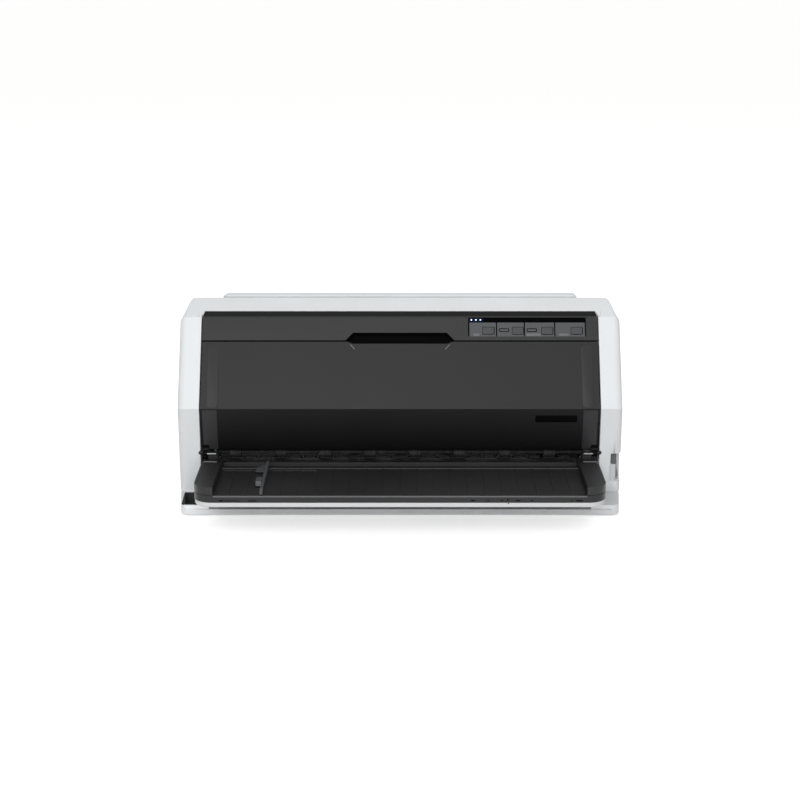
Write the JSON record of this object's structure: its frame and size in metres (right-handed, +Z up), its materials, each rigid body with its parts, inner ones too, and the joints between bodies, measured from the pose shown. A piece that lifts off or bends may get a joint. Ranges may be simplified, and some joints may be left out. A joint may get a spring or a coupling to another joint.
{
  "type": "dot matrix printer",
  "caption": "Flat-path dot matrix printer with a drop-down front cover, hinged rear lid, paper table, push buttons and a working carriage, belt and roller gear train.",
  "frame": {"origin": "on the floor under the middle of the printer's outer box", "axes": "+X to the right seen from the front, +Y to the rear, +Z up"},
  "size_m": [0.48, 0.37, 0.2098],
  "materials": {
    "white_plastic": "fine satin moulded texture",
    "base_plastic": "satin moulded",
    "dark_plastic": "satin dark grey moulded",
    "table_plastic": "fine matte texture",
    "panel_film": "smooth black film",
    "grey_plastic": "satin grey",
    "lamp": "clear blue light pipe",
    "rubber": "ground rubber",
    "sheet_steel": "zinc plated sheet",
    "ground_steel": "ground and plated",
    "motor_metal": "black paint",
    "die_cast": "die cast",
    "gear_plastic": "natural acetal",
    "bronze": "sintered bronze",
    "circuit_board": "green solder mask",
    "port_plastic": "black moulded"
  },
  "bodies": {
    "chassis": {"base_pan": "base_plastic", "rubber_feet": "rubber", "upper_casing": "white_plastic", "front_fascia": "dark_plastic", "button_panel": "panel_film", "status_lamps": "lamp", "panel_board": "circuit_board", "cover_hinges": "dark_plastic", "lid_hinge_rod": "sheet_steel", "power_switch_bezel": "base_plastic", "paper_table": "table_plastic", "table_shell": "white_plastic", "table_end_caps": "table_plastic", "left_frame": "sheet_steel", "right_frame": "sheet_steel", "cross_rail": "sheet_steel", "guide_shaft": "ground_steel", "carriage_motor": "motor_metal", "motor_bracket": "sheet_steel", "idler_bracket": "sheet_steel", "timing_belt": "rubber", "paper_guide": "table_plastic", "shaft_bushes": "bronze", "feed_motor": "motor_metal", "tractor_rod": "ground_steel", "main_board": "circuit_board", "power_supply": "sheet_steel", "rear_ports": "port_plastic"},
    "cover": {"front_cover": "dark_plastic"},
    "lid": {"rear_lid": "white_plastic"},
    "tear_off_button": {"tear_off_button": "grey_plastic"},
    "line_feed_button": {"line_feed_button": "grey_plastic"},
    "load_eject_button": {"load_eject_button": "grey_plastic"},
    "pause_button": {"pause_button": "grey_plastic"},
    "rocker": {"power_rocker": "grey_plastic"},
    "edge_guide": {"edge_guide": "grey_plastic"},
    "carriage": {"carriage": "table_plastic", "carriage_bushes": "bronze", "print_head": "die_cast", "ribbon_cartridge": "table_plastic"},
    "ribbon_knob": {"ribbon_knob": "grey_plastic"},
    "drive_pulley": {"drive_pulley": "die_cast"},
    "idler_pulley": {"idler_pulley": "gear_plastic"},
    "platen": {"platen_shaft": "ground_steel", "platen_roller": "rubber", "platen_gear": "gear_plastic"},
    "front_idler": {"front_idler_gear": "gear_plastic"},
    "front_feed": {"front_feed_shaft": "ground_steel", "front_feed_rollers": "rubber"},
    "front_pinch": {"front_pinch_rollers": "rubber"},
    "rear_idler": {"rear_idler_gear": "gear_plastic"},
    "rear_feed": {"rear_feed_shaft": "ground_steel", "rear_feed_rollers": "rubber"},
    "rear_pinch": {"rear_pinch_rollers": "rubber"},
    "tractor_idler": {"tractor_idler_gear": "gear_plastic"},
    "pinion": {"motor_pinion": "bronze"},
    "tractor_drive": {"tractor_shaft": "ground_steel"},
    "left_tractor": {"left_tractor": "grey_plastic"},
    "right_tractor": {"right_tractor": "grey_plastic"}
  },
  "joints": [
    {"name": "front_cover_hinge", "type": "hinge", "parent": "chassis", "child": "cover", "pos_m": [0, -0.06, 0.06], "axis": [1, 0, 0], "range_deg": [0, 75]},
    {"name": "rear_lid_hinge", "type": "hinge", "parent": "chassis", "child": "lid", "pos_m": [0, 0.173, 0.17284], "axis": [-1, 0, 0], "range_deg": [0, 90]},
    {"name": "tear_off_button", "type": "slide", "parent": "chassis", "child": "tear_off_button", "axis": [0, 0.8744, -0.4852], "range_m": [0, 0.0006], "stiffness_N_per_m": 300},
    {"name": "line_feed_button", "type": "slide", "parent": "chassis", "child": "line_feed_button", "axis": [0, 0.8744, -0.4852], "range_m": [0, 0.0006], "stiffness_N_per_m": 300},
    {"name": "load_eject_button", "type": "slide", "parent": "chassis", "child": "load_eject_button", "axis": [0, 0.8744, -0.4852], "range_m": [0, 0.0006], "stiffness_N_per_m": 300},
    {"name": "pause_button", "type": "slide", "parent": "chassis", "child": "pause_button", "axis": [0, 0.8744, -0.4852], "range_m": [0, 0.0006], "stiffness_N_per_m": 300},
    {"name": "power_rocker_hinge", "type": "hinge", "parent": "chassis", "child": "rocker", "pos_m": [0.233, -0.05, 0.043], "axis": [0, 1, 0], "range_deg": [0, 12]},
    {"name": "edge_guide_slide", "type": "slide", "parent": "chassis", "child": "edge_guide", "axis": [1, 0, 0], "range_m": [-0.034, 0.04]},
    {"name": "carriage_slide", "type": "slide", "parent": "chassis", "child": "carriage", "axis": [1, 0, 0], "range_m": [-0.125, 0.125]},
    {"name": "ribbon_knob_spin", "type": "hinge", "parent": "carriage", "child": "ribbon_knob", "pos_m": [-0.043, -0.028, 0.08], "axis": [0, 0, 1], "continuous": true},
    {"name": "drive_pulley_spin", "type": "hinge", "parent": "chassis", "child": "drive_pulley", "pos_m": [0.172, 0.08, 0.095], "axis": [0, 0, 1], "continuous": true},
    {"name": "idler_pulley_spin", "type": "hinge", "parent": "chassis", "child": "idler_pulley", "pos_m": [-0.172, 0.08, 0.095], "axis": [0, 0, 1], "continuous": true},
    {"name": "platen_spin", "type": "hinge", "parent": "chassis", "child": "platen", "pos_m": [0, 0.005, 0.038], "axis": [1, 0, 0], "continuous": true},
    {"name": "front_idler_spin", "type": "hinge", "parent": "chassis", "child": "front_idler", "pos_m": [0, -0.02623, 0.03389], "axis": [1, 0, 0], "continuous": true},
    {"name": "front_feed_spin", "type": "hinge", "parent": "chassis", "child": "front_feed", "pos_m": [0, -0.048, 0.044], "axis": [1, 0, 0], "continuous": true},
    {"name": "front_pinch_spin", "type": "hinge", "parent": "chassis", "child": "front_pinch", "pos_m": [0, -0.048, 0.0573], "axis": [1, 0, 0], "continuous": true},
    {"name": "rear_idler_spin", "type": "hinge", "parent": "chassis", "child": "rear_idler", "pos_m": [0, 0.0382, 0.03353], "axis": [1, 0, 0], "continuous": true},
    {"name": "rear_feed_spin", "type": "hinge", "parent": "chassis", "child": "rear_feed", "pos_m": [0, 0.062, 0.044], "axis": [1, 0, 0], "continuous": true},
    {"name": "rear_pinch_spin", "type": "hinge", "parent": "chassis", "child": "rear_pinch", "pos_m": [0, 0.062, 0.0573], "axis": [1, 0, 0], "continuous": true},
    {"name": "tractor_idler_spin", "type": "hinge", "parent": "chassis", "child": "tractor_idler", "pos_m": [0, 0.087, 0.03686], "axis": [1, 0, 0], "continuous": true},
    {"name": "pinion_spin", "type": "hinge", "parent": "chassis", "child": "pinion", "pos_m": [0, 0.09521, 0.05941], "axis": [1, 0, 0], "continuous": true},
    {"name": "tractor_spin", "type": "hinge", "parent": "chassis", "child": "tractor_drive", "pos_m": [0, 0.112, 0.044], "axis": [1, 0, 0], "continuous": true},
    {"name": "left_tractor_slide", "type": "slide", "parent": "chassis", "child": "left_tractor", "axis": [1, 0, 0], "range_m": [-0.035, 0.06]},
    {"name": "right_tractor_slide", "type": "slide", "parent": "chassis", "child": "right_tractor", "axis": [1, 0, 0], "range_m": [-0.06, 0.035]}
  ],
  "couplings": [
    {"joint": "drive_pulley_spin", "follows": "carriage_slide", "rad_per_m": 103.09},
    {"joint": "idler_pulley_spin", "follows": "carriage_slide", "rad_per_m": 103.09},
    {"joint": "front_idler_spin", "follows": "platen_spin", "ratio": -1.25},
    {"joint": "front_feed_spin", "follows": "platen_spin", "ratio": 1.75},
    {"joint": "front_pinch_spin", "follows": "platen_spin", "ratio": -2.8},
    {"joint": "rear_idler_spin", "follows": "platen_spin", "ratio": -1.0938},
    {"joint": "rear_feed_spin", "follows": "platen_spin", "ratio": 1.75},
    {"joint": "rear_pinch_spin", "follows": "platen_spin", "ratio": -2.8},
    {"joint": "tractor_idler_spin", "follows": "platen_spin", "ratio": -1.0938},
    {"joint": "tractor_spin", "follows": "platen_spin", "ratio": 1.75},
    {"joint": "pinion_spin", "follows": "platen_spin", "ratio": 2.1875}
  ]
}
